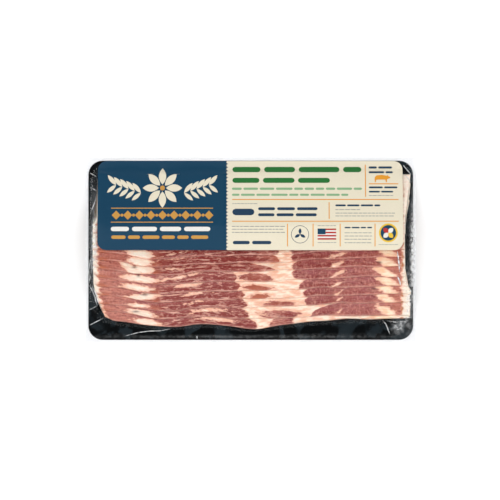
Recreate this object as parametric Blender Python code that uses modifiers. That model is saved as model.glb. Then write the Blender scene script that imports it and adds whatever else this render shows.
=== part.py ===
"""A retail pack of sliced bacon, lying flat.

Twelve slices are shingled on a black coated board. A clear top film is drawn down over them
and sealed to a clear bottom film in a narrow flange round the board, and a printed label lies
on the film over the back half of the pack.

Units are metres. X runs along the slices, Y from the front of the pack to the back, and Z is
up. The origin is under the middle of the pack, on the surface that it lies on.
"""

import math
import random

import bpy

# Board
BOARD_LENGTH = 0.263
BOARD_DEPTH = 0.145
BOARD_THICKNESS = 0.0012
BOARD_CORNER = 0.0115
BOARD_EDGE_ROUND = 0.0003
ARC_STEPS = 8
WELD_DISTANCE = 0.00002
SHARP_EDGE = math.radians(60)

# Films
FILM_LENGTH = 0.2674
FILM_DEPTH = 0.1492
FILM_THICKNESS = 0.0003
GAP = 0.0003

# Slices: each lies on the one below and one step further back
SLICE_COUNT = 12
SLICE_STEP_BACK = 0.0069
SLICE_STEP_UP = 0.00305
CROWN_PER_STEP = 0.00018
STEPS_TO_CREST = 6
SLICE_WIDTH = STEPS_TO_CREST * SLICE_STEP_BACK
SLICE_THICKNESS = 0.0026
SLICE_EDGE_ROUND = 0.0008
FRONT_Y = -0.0559
COLUMNS_ALONG = 26
LONG_SPAN = 0.012

# Front edges. Every slice hangs forward in two places (middle, half width, reach), less so under
# the label, and each is laid a little out of line at its left and its right.
SAG_PLACES = [(-0.010, 0.050, 0.0040), (-0.076, 0.020, 0.0047)]
SAG_FADE_FROM = 0.006
SHIFT_SPAN = 0.1
LEFT_SHIFTS = [0.0003, 0.0005, -0.0006, -0.0006, -0.0006, -0.0003, 0.0008, 0.0002, -0.0003]
RIGHT_SHIFTS = [0.0007, -0.0036, -0.0001, -0.0003, -0.0007, 0.0002, 0.0016, 0.0020, 0.0008]
FRONT_SLACK = (0.004, 0.020, 0.0042)
FRONT_SLACK_SHARES = [1.0, 0.3]
RIPPLE = 0.00035
LONG_RIPPLE = 0.055
SHORT_RIPPLE = 0.031
SHORT_RIPPLE_SHARE = 0.6
FLAP_SLICE = 6
FLAP_X = -0.099
FLAP_HALF_WIDTH = 0.009
FLAP_REACH = 0.0014

# Ends of the stack, seen from above
LEFT_END = -0.1276
RIGHT_END = 0.1246
LEFT_BACK_SHORT = 0.0036
RIGHT_OUTER_LONG = 0.0046
STRAIGHT_FRONT_Y = -0.028
STRAIGHT_BACK_Y = 0.0285
RIGHT_STRAIGHT_FRONT_Y = -0.0245
FRONT_CORNER_SLANT = 0.2
FRONT_CORNER_CURVE = 6.5
END_BLEND = 0.009
END_UNEVEN = 0.0004
END_SEED = 100

# Top film: it lies close over the slices and folds down at each of their front edges
SLICES_IN_SIGHT = 9
FILM_FREE = 0.00035
FILM_NEAR = 0.00035
FILM_RISER = 0.0005
FILM_FOOT = 0.0016
FILM_END_FREE = 0.0007
RING_WIDE = 0.0010
RING_NEAR = 0.0006
RING_INSIDE = 0.0007
RIM_CORNER_COLUMN = 0.0045
BACK_FOOT_Y = 0.0655
LABEL_REST_FROM = 0.0035

# Label
LABEL_LEFT = -0.1240
LABEL_RIGHT = 0.1237
LABEL_FRONT = -0.0010
LABEL_BACK = 0.0722
LABEL_THICKNESS = 0.0003
LABEL_CORNER = 0.0072
LABEL_COLUMNS = 12
CORNER_STEPS = 3
LABEL_BACK_LIFT = 2

# Levels and lines worked out from the sizes above. Behind the crest the slices slope down, so
# there a slice is SLICE_UPRIGHT thick when it is measured straight up.
BOARD_BOTTOM = FILM_THICKNESS + GAP
BOARD_TOP = BOARD_BOTTOM + BOARD_THICKNESS
FLANGE_BOTTOM = FILM_THICKNESS + GAP
STACK_BOTTOM = BOARD_TOP + GAP
CREST_Y = FRONT_Y + SLICE_WIDTH
CREST_SOFT = SLICE_STEP_BACK / 2
CREST_SOFT_DROP = 0.25
SLOPE_STEEPNESS = (SLICE_STEP_UP + CROWN_PER_STEP) / SLICE_STEP_BACK
SLICE_UPRIGHT = SLICE_THICKNESS * math.hypot(1, SLOPE_STEEPNESS)
LAST_SLICE = SLICE_COUNT - 1
LAST_FRONT = FRONT_Y + LAST_SLICE * SLICE_STEP_BACK
BACK_END = LAST_FRONT + SLICE_WIDTH + GAP


def clear_scene():
    """Remove every object that the file already holds."""
    for item in list(bpy.data.objects):
        bpy.data.objects.remove(item, do_unlink=True)


def make_collection(name):
    """Add a collection to the scene."""
    collection = bpy.data.collections.new(name)
    bpy.context.scene.collection.children.link(collection)
    return collection


def make_material(name, color, roughness, alpha=1.0):
    """Return a Principled material of one colour."""
    material = bpy.data.materials.new(name)
    material.use_nodes = True
    shader = material.node_tree.nodes["Principled BSDF"]
    shader.inputs["Base Color"].default_value = (*color, 1.0)
    shader.inputs["Roughness"].default_value = roughness
    shader.inputs["Metallic"].default_value = 0.0
    shader.inputs["Alpha"].default_value = alpha
    return material


def keep(item, name, collection, material):
    """Name an object and move it to the pack's collection."""
    item.name = name
    item.data.name = name
    item.data.materials.clear()
    item.data.materials.append(material)
    for other in list(item.users_collection):
        other.objects.unlink(item)
    collection.objects.link(item)


def soft_step(value, start, end):
    """Rise smoothly from 0 at start to 1 at end."""
    part = min(max((value - start) / (end - start), 0.0), 1.0)
    return part * part * (3 - 2 * part)


def bell(value, middle, half_width):
    """Return a smooth hump of height 1."""
    return math.exp(-(((value - middle) / half_width) ** 2) / 2)


def sagged(x, y):
    """Move a place forward as far as the slices hang forward there."""
    sag = sum(reach * bell(x, middle, wide) for middle, wide, reach in SAG_PLACES)
    return y - sag * (1 - soft_step(y, SAG_FADE_FROM, LAST_FRONT))


def sunk_steps(y):
    """Return how many slices have ended in front of y, as a soft number."""
    past = y - CREST_Y
    if past <= 0:
        return 0.0
    if past <= CREST_SOFT:
        return past / SLICE_STEP_BACK / 2
    return past / SLICE_STEP_BACK - CREST_SOFT_DROP


def step_up(x):
    """Return the rise from one slice to the next, a little more in the middle of the pack."""
    return SLICE_STEP_UP + CROWN_PER_STEP * (1 - (x / LEFT_END) ** 2)


def slice_bottom(index, x, y):
    """Return the height of a slice's lower face."""
    return STACK_BOTTOM + step_up(x) * (index - sunk_steps(y))


def left_end(y):
    """Return where the stack ends at the left, at depth y."""
    forward = max(0.0, STRAIGHT_FRONT_Y - y)
    short = LEFT_BACK_SHORT * soft_step(y, STRAIGHT_BACK_Y - END_BLEND, STRAIGHT_BACK_Y)
    return LEFT_END + short + FRONT_CORNER_SLANT * forward + FRONT_CORNER_CURVE * forward**2


def right_end(y):
    """Return where the stack ends at the right, at depth y."""
    back = soft_step(y, STRAIGHT_BACK_Y, STRAIGHT_BACK_Y + END_BLEND)
    front = soft_step(-y, -RIGHT_STRAIGHT_FRONT_Y, -RIGHT_STRAIGHT_FRONT_Y + END_BLEND)
    return RIGHT_END + RIGHT_OUTER_LONG * (back + front)


def ripple(index, x):
    """Return the small ripple in one slice's front edge, and its flap of loose fat."""
    phase = random.Random(index).uniform(0, math.tau)
    long_wave = math.sin(math.tau * x / LONG_RIPPLE + phase)
    short_wave = math.sin(math.tau * x / SHORT_RIPPLE + 2 * phase)
    flap = FLAP_REACH * bell(x, FLAP_X, FLAP_HALF_WIDTH) if index == FLAP_SLICE else 0.0
    return RIPPLE * (long_wave + SHORT_RIPPLE_SHARE * short_wave) - flap


def front_edge(index, x):
    """Return the y of a slice's front edge at x, before the sag."""
    y = FRONT_Y + index * SLICE_STEP_BACK + ripple(index, x)
    if index < len(LEFT_SHIFTS):
        left, right = LEFT_SHIFTS[index], RIGHT_SHIFTS[index]
        y += (left + right) / 2 + (right - left) / 2 * x / SHIFT_SPAN
    if index < len(FRONT_SLACK_SHARES):
        middle, wide, reach = FRONT_SLACK
        y -= FRONT_SLACK_SHARES[index] * reach * bell(x, middle, wide)
    return y


def grid(columns, rows):
    """Add a flat grid, and return it with its points as rows of columns."""
    bpy.ops.mesh.primitive_grid_add(x_subdivisions=columns - 1, y_subdivisions=rows - 1, size=2)
    item = bpy.context.object
    points = sorted(item.data.vertices, key=lambda v: (round(v.co.y, 5), round(v.co.x, 5)))
    return item, [points[row * columns : (row + 1) * columns] for row in range(rows)]


def thicken(item, thickness):
    """Give a sheet its thickness, upwards from the sheet."""
    solid = item.modifiers.new("Thickness", "SOLIDIFY")
    solid.thickness = thickness
    solid.offset = 1.0
    solid.use_even_offset = True


def soften(item, width):
    """Chamfer the sharp edges of a piece."""
    rounded = item.modifiers.new("Soft edge", "BEVEL")
    rounded.width = width
    rounded.segments = 1
    rounded.limit_method = "ANGLE"
    rounded.angle_limit = SHARP_EDGE


def slice_rows(index):
    """Return the y of a slice's rows, with one on each line where the stack bends."""
    start = FRONT_Y + index * SLICE_STEP_BACK
    end = start + SLICE_WIDTH
    fade_middle = (SAG_FADE_FROM + LAST_FRONT) / 2
    bends = [CREST_Y, CREST_Y + CREST_SOFT, SAG_FADE_FROM, fade_middle, LAST_FRONT]
    breaks = [start] + [y for y in bends if start + CREST_SOFT / 2 < y < end - GAP] + [end]
    rows = [start]
    for low, high in zip(breaks, breaks[1:]):
        if high - low > LONG_SPAN:
            rows.append((low + high) / 2)
        rows.append(high)
    return rows


def build_slice(index, collection, material):
    """Make one slice, a bent sheet that lies on the slices below it."""
    levels = slice_rows(index)
    item, rows = grid(COLUMNS_ALONG + 1, len(levels))
    uneven = random.Random(END_SEED + index).uniform(-END_UNEVEN, END_UNEVEN)
    for row, level in zip(rows, levels):
        start = left_end(sagged(LEFT_END, level)) + GAP + uneven
        end = right_end(sagged(RIGHT_END, level)) - GAP + uneven
        for column, point in enumerate(row):
            x = start + (end - start) * column / COLUMNS_ALONG
            y = front_edge(index, x) if level == levels[0] else level
            point.co = (x, sagged(x, y), slice_bottom(index, x, y))
    thicken(item, SLICE_THICKNESS)
    soften(item, SLICE_EDGE_ROUND)
    keep(item, f"slice_{index + 1:02d}", collection, material)


def rounded_outline(length, depth, corner):
    """Return the points of a rectangle with round corners, anticlockwise."""
    points = []
    corners = [(1, 1, 0.0), (-1, 1, 0.5), (-1, -1, 1.0), (1, -1, 1.5)]
    for side_x, side_y, turn in corners:
        middle_x = side_x * (length / 2 - corner)
        middle_y = side_y * (depth / 2 - corner)
        for step in range(ARC_STEPS + 1):
            angle = math.pi * (turn + step / ARC_STEPS / 2)
            points.append((middle_x + corner * math.cos(angle), middle_y + corner * math.sin(angle)))
    return points


def build_board(collection, material):
    """Make the flat board with its round corners."""
    outline = rounded_outline(BOARD_LENGTH, BOARD_DEPTH, BOARD_CORNER)
    curve = bpy.data.curves.new("board", "CURVE")
    curve.dimensions = "2D"
    curve.fill_mode = "BOTH"
    curve.extrude = BOARD_THICKNESS / 2
    spline = curve.splines.new("POLY")
    spline.points.add(len(outline) - 1)
    for point, (x, y) in zip(spline.points, outline):
        point.co = (x, y, 0.0, 1.0)
    spline.use_cyclic_u = True
    item = bpy.data.objects.new("board", curve)
    item.location.z = BOARD_BOTTOM + BOARD_THICKNESS / 2
    bpy.context.scene.collection.objects.link(item)
    weld = item.modifiers.new("Join caps", "WELD")
    weld.merge_threshold = WELD_DISTANCE
    soften(item, BOARD_EDGE_ROUND)
    keep(item, "board", collection, material)


def build_bottom_film(collection, material):
    """Make the flat film under the board, as wide as the seal."""
    bpy.ops.mesh.primitive_cube_add(size=1, location=(0, 0, FILM_THICKNESS / 2))
    item = bpy.context.object
    item.scale = (FILM_LENGTH, FILM_DEPTH, FILM_THICKNESS)
    bpy.ops.object.transform_apply(location=False, rotation=False, scale=True)
    keep(item, "film_base", collection, material)


def round_corner(x, y, straight_x, straight_y):
    """Pull a point past a corner's centre onto the arc at its own distance."""
    past_x = abs(x) - straight_x
    past_y = abs(y) - straight_y
    if past_x <= 0 or past_y <= 0:
        return x, y
    pull = max(past_x, past_y) / math.hypot(past_x, past_y)
    x = math.copysign(straight_x + past_x * pull, x)
    y = math.copysign(straight_y + past_y * pull, y)
    return x, y


def wall_columns(y):
    """Return the x of the film's inner lines where it lies on the slices, at depth y."""
    start = left_end(sagged(LEFT_END, y)) - FILM_END_FREE
    end = right_end(sagged(RIGHT_END, y)) + FILM_END_FREE
    return [start + (end - start) * step / COLUMNS_ALONG for step in range(COLUMNS_ALONG + 1)]


def rim_columns():
    """Return the x of the film's inner lines where it lies on the board, with round corners."""
    straight = BOARD_LENGTH / 2 - BOARD_CORNER
    steps = COLUMNS_ALONG - 2
    middle = [straight * (2 * step / steps - 1) for step in range(steps + 1)]
    return [-straight - RIM_CORNER_COLUMN] + middle + [straight + RIM_CORNER_COLUMN]


def over_slice(index):
    """Return the film's height over one slice, as a function of the place."""
    lift = SLICE_UPRIGHT + FILM_FREE
    return lambda x, y: slice_bottom(index, x, y) + lift


def over_stack(x, y):
    """Return the film's height where the label holds it flat, and on the back slope."""
    steps = min((y - FRONT_Y) / SLICE_STEP_BACK, LAST_SLICE) - sunk_steps(y)
    return STACK_BOTTOM + SLICE_UPRIGHT + FILM_FREE + step_up(x) * steps


def on_board(x, y):
    """Return the film's height on the board."""
    return STACK_BOTTOM


def on_base(x, y):
    """Return the film's height on the bottom film."""
    return FLANGE_BOTTOM


def straight_row(y):
    """Return a line of the film that doesn't wander."""
    return lambda x: y


def stepped_rows():
    """Return the film's lines over the slices that show: a foot and a top at each front edge."""
    rows = [("wall", lambda x: front_edge(0, x) - FILM_FOOT, on_board)]
    for index in range(SLICES_IN_SIGHT):
        if index > 0:
            foot = FILM_NEAR + FILM_RISER
            rows.append(("wall", lambda x, i=index: front_edge(i, x) - foot, over_slice(index - 1)))
        rows.append(("wall", lambda x, i=index: front_edge(i, x) - FILM_NEAR, over_slice(index)))
        if index == STEPS_TO_CREST:
            rows.append(("wall", straight_row(CREST_Y + CREST_SOFT), over_slice(index)))
    return rows


def film_rows():
    """Return the top film's lines from front to back: kind, y as a function of x, and height."""
    half = BOARD_DEPTH / 2
    rings = [
        (FILM_DEPTH / 2, on_base),
        (half + RING_WIDE, on_base),
        (half + RING_NEAR, on_board),
        (half - RING_INSIDE, on_board),
    ]
    inside = half - RING_INSIDE
    rows = [("rim", straight_row(-y), height) for y, height in rings]
    rows.append(("rim", lambda x: (sagged(x, front_edge(0, x) - FILM_FOOT) - inside) / 2, on_board))
    rows += stepped_rows()
    for depth in (LABEL_REST_FROM, LAST_FRONT, (LAST_FRONT + BACK_END) / 2, BACK_END):
        rows.append(("wall", straight_row(depth), over_stack))
    rows.append(("wall", straight_row(BACK_FOOT_Y), on_board))
    rows.append(("rim", straight_row((BACK_FOOT_Y + inside) / 2), on_board))
    rows += [("rim", straight_row(y), height) for y, height in reversed(rings)]
    return rows


def build_top_film(collection, material):
    """Make the film that is drawn down over the slices and the board."""
    half_x = BOARD_LENGTH / 2
    ring_x = [FILM_LENGTH / 2, half_x + RING_WIDE, half_x + RING_NEAR, half_x - RING_INSIDE]
    ring_height = [FLANGE_BOTTOM, FLANGE_BOTTOM, STACK_BOTTOM, STACK_BOTTOM]
    straight_x = half_x - BOARD_CORNER
    straight_y = BOARD_DEPTH / 2 - BOARD_CORNER
    lines = film_rows()
    columns = COLUMNS_ALONG + 1 + 2 * len(ring_x)
    item, rows = grid(columns, len(lines))
    for (kind, place, height), row in zip(lines, rows):
        inner = rim_columns() if kind == "rim" else wall_columns(place(0.0))
        xs = [-x for x in ring_x] + inner + ring_x[::-1]
        for column, (x, point) in enumerate(zip(xs, row)):
            y = place(x)
            level = height(x, y)
            if kind == "wall":
                y = sagged(x, y)
            edge = min(column, columns - 1 - column)
            if edge < len(ring_x):
                level = min(level, ring_height[edge])
            if edge > 0 and abs(y) < FILM_DEPTH / 2:
                x, y = round_corner(x, y, straight_x, straight_y)
            point.co = (x, y, level)
    thicken(item, FILM_THICKNESS)
    keep(item, "film_lid", collection, material)


def label_lines(low, high, between):
    """Return the label's lines along one side, close together at its two corners."""
    near = [low + LABEL_CORNER * step / CORNER_STEPS for step in range(CORNER_STEPS + 1)]
    far = [low + high - place for place in near]
    return sorted(near + far + between)


def label_height(x, y):
    """Return the height of the label's lower face, just above the film."""
    above = (FILM_THICKNESS + GAP) * math.hypot(1, SLOPE_STEEPNESS)
    if y <= BACK_END:
        return over_stack(x, y) + above
    drop = min((y - BACK_END) / (BACK_FOOT_Y - BACK_END), 1.0)
    edge = over_stack(x, BACK_END)
    return edge + (STACK_BOTTOM - edge) * drop + above * (LABEL_BACK_LIFT if drop < 1 else 1)


def build_label(collection, material):
    """Make the printed label, bent over the back half of the pack."""
    span = LABEL_RIGHT - LABEL_LEFT
    inner = [LABEL_LEFT + span * step / LABEL_COLUMNS for step in range(1, LABEL_COLUMNS)]
    bends = [LAST_FRONT, (LAST_FRONT + BACK_END) / 2, BACK_END, BACK_FOOT_Y]
    xs = label_lines(LABEL_LEFT, LABEL_RIGHT, inner)
    ys = label_lines(LABEL_FRONT, LABEL_BACK, bends)
    middle_x = (LABEL_LEFT + LABEL_RIGHT) / 2
    middle_y = (LABEL_FRONT + LABEL_BACK) / 2
    straight_x = span / 2 - LABEL_CORNER
    straight_y = (LABEL_BACK - LABEL_FRONT) / 2 - LABEL_CORNER
    item, rows = grid(len(xs), len(ys))
    for y, row in zip(ys, rows):
        for x, point in zip(xs, row):
            side_x, side_y = round_corner(x - middle_x, y - middle_y, straight_x, straight_y)
            place_x = side_x + middle_x
            place_y = side_y + middle_y
            point.co = (place_x, place_y, label_height(place_x, place_y))
    thicken(item, LABEL_THICKNESS)
    keep(item, "label", collection, material)


def build_pack():
    """Build every piece of the pack."""
    clear_scene()
    collection = make_collection("bacon_pack")
    card = make_material("black_coated_card", (0.010, 0.011, 0.012), 0.35)
    pork = make_material("cured_pork", (0.62, 0.30, 0.24), 0.40)
    film = make_material("clear_film", (0.90, 0.92, 0.93), 0.12, 0.3)
    paper = make_material("printed_label", (0.55, 0.56, 0.50), 0.45)
    build_bottom_film(collection, film)
    build_board(collection, card)
    for index in range(SLICE_COUNT):
        build_slice(index, collection, pork)
    build_top_film(collection, film)
    build_label(collection, paper)


build_pack()
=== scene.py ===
# %% [markdown]
# # A retail pack of sliced bacon
#
# The real pack is a flat black board with twelve slices of bacon shingled on it, skin-packed
# under a clear film, with a printed label over its back half. This lesson dresses the packed
# solids of that object. The frame gives every solid at its real size and in its real place, and
# each piece made here stands where its solid stands.

# %% Load the frame
import math
import random

import bpy
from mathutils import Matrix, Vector, noise
from mathutils.bvhtree import BVHTree
from mathutils.geometry import delaunay_2d_cdt


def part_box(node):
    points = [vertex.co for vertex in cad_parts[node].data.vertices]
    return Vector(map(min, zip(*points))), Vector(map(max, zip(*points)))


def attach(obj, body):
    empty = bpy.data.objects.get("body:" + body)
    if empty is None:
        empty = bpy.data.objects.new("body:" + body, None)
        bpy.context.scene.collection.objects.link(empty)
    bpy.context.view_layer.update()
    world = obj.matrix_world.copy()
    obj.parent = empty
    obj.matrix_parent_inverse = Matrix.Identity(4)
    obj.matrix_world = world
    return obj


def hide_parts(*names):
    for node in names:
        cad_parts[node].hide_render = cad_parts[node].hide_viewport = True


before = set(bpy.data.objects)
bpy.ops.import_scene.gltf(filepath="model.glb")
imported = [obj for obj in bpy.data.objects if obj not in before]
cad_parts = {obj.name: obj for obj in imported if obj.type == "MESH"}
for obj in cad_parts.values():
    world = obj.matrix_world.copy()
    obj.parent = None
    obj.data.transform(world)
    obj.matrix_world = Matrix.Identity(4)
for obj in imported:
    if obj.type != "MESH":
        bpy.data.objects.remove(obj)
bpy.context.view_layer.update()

MM = 0.001
low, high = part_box("film_base")
PACK_LENGTH = high[0] - low[0]
PACK_DEPTH = high[1] - low[1]
print("pack", round(PACK_LENGTH / MM, 1), "x", round(PACK_DEPTH / MM, 1), "mm")

# %% [markdown]
# ## Smooth shapes
#
# Meat, film and folds have no sudden changes, so a smooth step and a smooth hump come back all
# through the lesson, and so does a plain blend between two values. A plateau is a step up and a
# step down, and a spot is a hump in two directions.

# %% Small functions
def soft_step(value, start, end):
    """Rise smoothly from 0 at start to 1 at end."""
    part = min(max((value - start) / (end - start), 0.0), 1.0)
    return part * part * (3 - 2 * part)


def bell(value, middle, half_width):
    """Return a smooth hump of height 1."""
    return math.exp(-(((value - middle) / half_width) ** 2) / 2)


def plateau(value, start, full, fading, end):
    """Rise smoothly from 0 at start to 1 at full, and fall again from fading to end."""
    return soft_step(value, start, full) * soft_step(-value, -end, -fading)


def spot(x, y, middle_x, middle_y, half_x, half_y):
    """Return a smooth round hump of height 1."""
    return bell(x, middle_x, half_x) * bell(y, middle_y, half_y)


def blend(a, b, share):
    """Return the value that lies a share of the way from a to b."""
    return a + (b - a) * share


print("a soft step from 0 to 4 at 1:", soft_step(1, 0, 4))

# %% [markdown]
# ## How the slices lie
#
# Slices of one belly are laid like roof tiles: each lies on the one below and one step further
# back. The front slice ends half way back, so the pile is level in front and slopes down behind
# that crest. The whole pile also hangs forward a little in two places. The form is a formula
# here, the same one as in the solids, so film, label and slices can all be worked out from it.

# %% The pile of slices
SLICE_COUNT = 12
SLICES_IN_SIGHT = 9
STEP_BACK = 6.9 * MM
STEP_UP = 3.05 * MM
CROWN = 0.18 * MM
SLICE_WIDTH = 6 * STEP_BACK
FRONT_Y = -55.9 * MM
LAST_FRONT = FRONT_Y + (SLICE_COUNT - 1) * STEP_BACK
STACK_BOTTOM = 2.1 * MM
CREST_Y = FRONT_Y + SLICE_WIDTH
SLICE_UPRIGHT = 2.87 * MM
SLICE_LENGTH = 252 * MM
LEFT_END_X = -127.6 * MM
RIGHT_END_X = 124.6 * MM
GAP = 0.3 * MM
PILE_END = LAST_FRONT + SLICE_WIDTH + GAP
PILE_FOOT = 65.5 * MM
SAGS = [(-10 * MM, 50 * MM, 4.0 * MM), (-76 * MM, 20 * MM, 4.7 * MM)]
SAG_FADE_FROM = 6 * MM
LEFT_SHIFTS = [0.3, 0.5, -0.6, -0.6, -0.6, -0.3, 0.8, 0.2, -0.3, 0, 0, 0]
RIGHT_SHIFTS = [0.7, -3.6, -0.1, -0.3, -0.7, 0.2, 1.6, 2.0, 0.8, 0, 0, 0]
FRONT_SLACKS = {0: 4.2 * MM, 1: 1.26 * MM}
FOLDED_SLICE = 6


def sagged(x, y):
    """Move a place forward as far as the slices hang forward there."""
    sag = sum(reach * bell(x, middle, wide) for middle, wide, reach in SAGS)
    return y - sag * (1 - soft_step(y, SAG_FADE_FROM, LAST_FRONT))


def sunk_steps(y):
    """Return how many slices have ended in front of y, as a soft number."""
    past = (y - CREST_Y) / STEP_BACK
    return past / 2 if 0 < past <= 0.5 else max(past - 0.25, 0.0)


def step_up(x):
    """Return the rise from one slice to the next, a little more in the middle of the pack."""
    return STEP_UP + CROWN * (1 - (x / LEFT_END_X) ** 2)


def slice_bottom(index, x, y):
    """Return the height of a slice's lower face."""
    return STACK_BOTTOM + step_up(x) * (index - sunk_steps(y))


def left_end(y):
    """Return where the pile ends at the left, at depth y."""
    forward = max(0.0, -28 * MM - y)
    short = 3.6 * MM * soft_step(y, 19.5 * MM, 28.5 * MM)
    return LEFT_END_X + short + 0.2 * forward + 6.5 * forward**2


def right_end(y):
    """Return where the pile ends at the right, at depth y."""
    back = soft_step(y, 28.5 * MM, 37.5 * MM)
    front = soft_step(-y, 24.5 * MM, 33.5 * MM)
    return RIGHT_END_X + 4.6 * MM * (back + front)


PHASES = [random.Random(index).uniform(0, math.tau) for index in range(SLICE_COUNT)]


def front_edge(index, x):
    """Return the y of a slice's front edge at x, before the sag."""
    long_wave = math.sin(math.tau * x / (55 * MM) + PHASES[index])
    short_wave = math.sin(math.tau * x / (31 * MM) + 2 * PHASES[index])
    y = FRONT_Y + index * STEP_BACK + 0.35 * MM * (long_wave + 0.6 * short_wave)
    left, right = LEFT_SHIFTS[index], RIGHT_SHIFTS[index]
    y += ((left + right) / 2 + (right - left) / 2 * x / (100 * MM)) * MM
    y -= FRONT_SLACKS.get(index, 0.0) * bell(x, 4 * MM, 20 * MM)
    if index == FOLDED_SLICE:
        y -= 1.4 * MM * bell(x, -99 * MM, 9 * MM)
    if index < SLICES_IN_SIGHT:
        y += 2.2 * MM * soft_step(-x, 122.5 * MM, 127.5 * MM) ** 2
    if index == 0:
        y += 3.0 * MM * soft_step(-x, 108 * MM, 117 * MM) ** 2
    return y


def stack_top(x, y):
    """Return the height of the pile where the label holds the film flat, and behind it."""
    steps = min((y - FRONT_Y) / STEP_BACK, SLICE_COUNT - 1) - sunk_steps(y)
    return STACK_BOTTOM + SLICE_UPRIGHT + step_up(x) * steps


print("crest", round(stack_top(0.0, 0.0) / MM, 1), "mm above the surface the pack lies on")

# %% [markdown]
# ## Camera
#
# The pack is seen from straight above, as in a catalogue. A long lens far away keeps its sides
# from showing. The distance follows from how much floor the picture is to show.

# %% Camera
FRAME_WIDTH = 405 * MM
LENS = 400
SENSOR = 36
PICTURE_MIDDLE = (-0.6 * MM, 0.2 * MM)


def stand(name, data):
    """Put an object with this data into the scene."""
    item = bpy.data.objects.new(name, data)
    bpy.context.scene.collection.objects.link(item)
    return item


camera_data = bpy.data.cameras.new("camera")
camera_data.lens = LENS
camera_data.sensor_width = SENSOR
camera = stand("camera", camera_data)
camera.location = (*PICTURE_MIDDLE, FRAME_WIDTH * LENS / SENSOR)
camera_data.clip_end = 100
bpy.context.scene.camera = camera
bpy.context.scene.view_settings.view_transform = "Standard"
print("camera", round(camera.location.z, 2), "m above the floor")

# %% [markdown]
# ## Nodes and colours
#
# Each finish below is a graph of shader nodes. One function adds a node together with its values
# and links. Another turns a colour as a screen shows it into the linear light that shaders use,
# and a last one starts a material, with the values that are the same all over.

# %% Helpers for materials
def feed(node, inputs):
    """Set inputs of a node to values, or link them to other nodes' outputs."""
    for name, value in inputs.items():
        if isinstance(value, bpy.types.NodeSocket):
            node.id_data.links.new(value, node.inputs[name])
        else:
            node.inputs[name].default_value = value


def add(tree, kind, inputs=None, out=0, **settings):
    """Add a shader node, set it up, and return one of its outputs."""
    made = tree.nodes.new(kind)
    for name, value in settings.items():
        setattr(made, name, value)
    feed(made, inputs or {})
    return made.outputs[out]


def linear(code):
    """Turn an sRGB hex colour into the linear colour that shaders work in."""
    parts = [int(code[i : i + 2], 16) / 255 for i in (1, 3, 5)]
    return (*[p / 12.92 if p <= 0.04045 else ((p + 0.055) / 1.055) ** 2.4 for p in parts], 1.0)


def new_material(name, values=None):
    """Return a new material, its graph and its shader, with some values of the shader set."""
    material = bpy.data.materials.new(name)
    material.use_nodes = True
    shader = material.node_tree.nodes["Principled BSDF"]
    feed(shader, values or {})
    return material, material.node_tree, shader


print("middle grey is", round(linear("#808080")[0], 3), "in linear light")

# %% [markdown]
# ## Sky and lamps
#
# Glossy packs are lit from the sides. A black board mirrors whatever is above it, so the sky is
# dark overhead and bright near the horizon. That keeps the board black, while the folds of the
# film, which lean, still catch the two side lamps. A third lamp in front is larger and softer. It
# fills the low steps between the slices.

# %% Light
LAMP_DISTANCE = 1.6
world = bpy.data.worlds.new("studio")
world.use_nodes = True
bpy.context.scene.world = world
sky = world.node_tree
direction = add(sky, "ShaderNodeTexCoord", out="Generated")
height = add(sky, "ShaderNodeSeparateXYZ", {0: direction}, out="Z")
ramp = add(sky, "ShaderNodeValToRGB", {0: height})
near_horizon, overhead = ramp.node.color_ramp.elements
near_horizon.position, near_horizon.color = 0.38, linear("#fbfcff")
overhead.position, overhead.color = 0.66, linear("#303438")
feed(sky.nodes["Background"], {"Color": ramp})


def lamp(name, azimuth, elevation, size, power):
    """Stand a square soft lamp round the pack, turned to its middle."""
    data = bpy.data.lights.new(name, "AREA")
    data.shape = "SQUARE"
    data.size = size
    data.energy = power
    item = stand(name, data)
    turn, rise = math.radians(azimuth), math.radians(elevation)
    away = Vector((math.sin(turn) * math.cos(rise), math.cos(turn) * math.cos(rise), math.sin(rise)))
    item.location = away * LAMP_DISTANCE
    item.rotation_euler = away.to_track_quat("Z", "Y").to_euler()


lamp("left_lamp", 282, 57, 0.9, 12.5)
lamp("right_lamp", 78, 57, 0.9, 11.5)
lamp("front_lamp", 180, 50, 1.6, 10.0)
print("lamps", len(bpy.data.lights))

# %% [markdown]
# ## Floor
#
# A board painted matt white stands for the plain ground of a catalogue picture. Matt paint
# scatters light evenly, so it shows no mirror image, only the soft shadow at the foot of the
# pack. A faint stipple from the roller keeps it from being dead even.

# %% A painted floor
FLOOR_HALF = 3.0
floor_mesh = bpy.data.meshes.new("floor")
corners = [(-1, -1), (1, -1), (1, 1), (-1, 1)]
floor_mesh.from_pydata([(x * FLOOR_HALF, y * FLOOR_HALF, 0) for x, y in corners], [], [(0, 1, 2, 3)])
floor = stand("floor", floor_mesh)
painted_floor, tree, paint = new_material("matt_white_paint", {"Roughness": 0.9})
stipple = add(tree, "ShaderNodeTexNoise", {"Scale": 40.0, "Detail": 3.0})
mixed = add(tree, "ShaderNodeMixRGB", {0: stipple, 1: linear("#f4f4f4"), 2: linear("#f8f8f8")})
feed(paint, {"Base Color": mixed})
floor.data.materials.append(painted_floor)
print("floor", 2 * FLOOR_HALF, "m square")

# %% [markdown]
# ## Making a piece
#
# Each piece is a mesh from its own points and faces. It rides on the pack's one body and takes
# its finish. Slices and creases are both tubes: a loop of points that is carried along a line and
# closed at both ends.

# %% Functions for pieces
def make_piece(name, points, faces, materials):
    """Make a piece that rides on the pack, shaded smooth."""
    mesh = bpy.data.meshes.new(name)
    mesh.from_pydata(points, [], faces)
    mesh.shade_smooth()
    for material in materials:
        mesh.materials.append(material)
    piece = stand(name, mesh)
    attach(piece, "root")
    return piece


def keep(piece, name, values, kind="FLOAT", field="value"):
    """Keep values on the points of a piece as an attribute."""
    piece.data.attributes.new(name, kind, "POINT").data.foreach_set(field, values)


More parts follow.
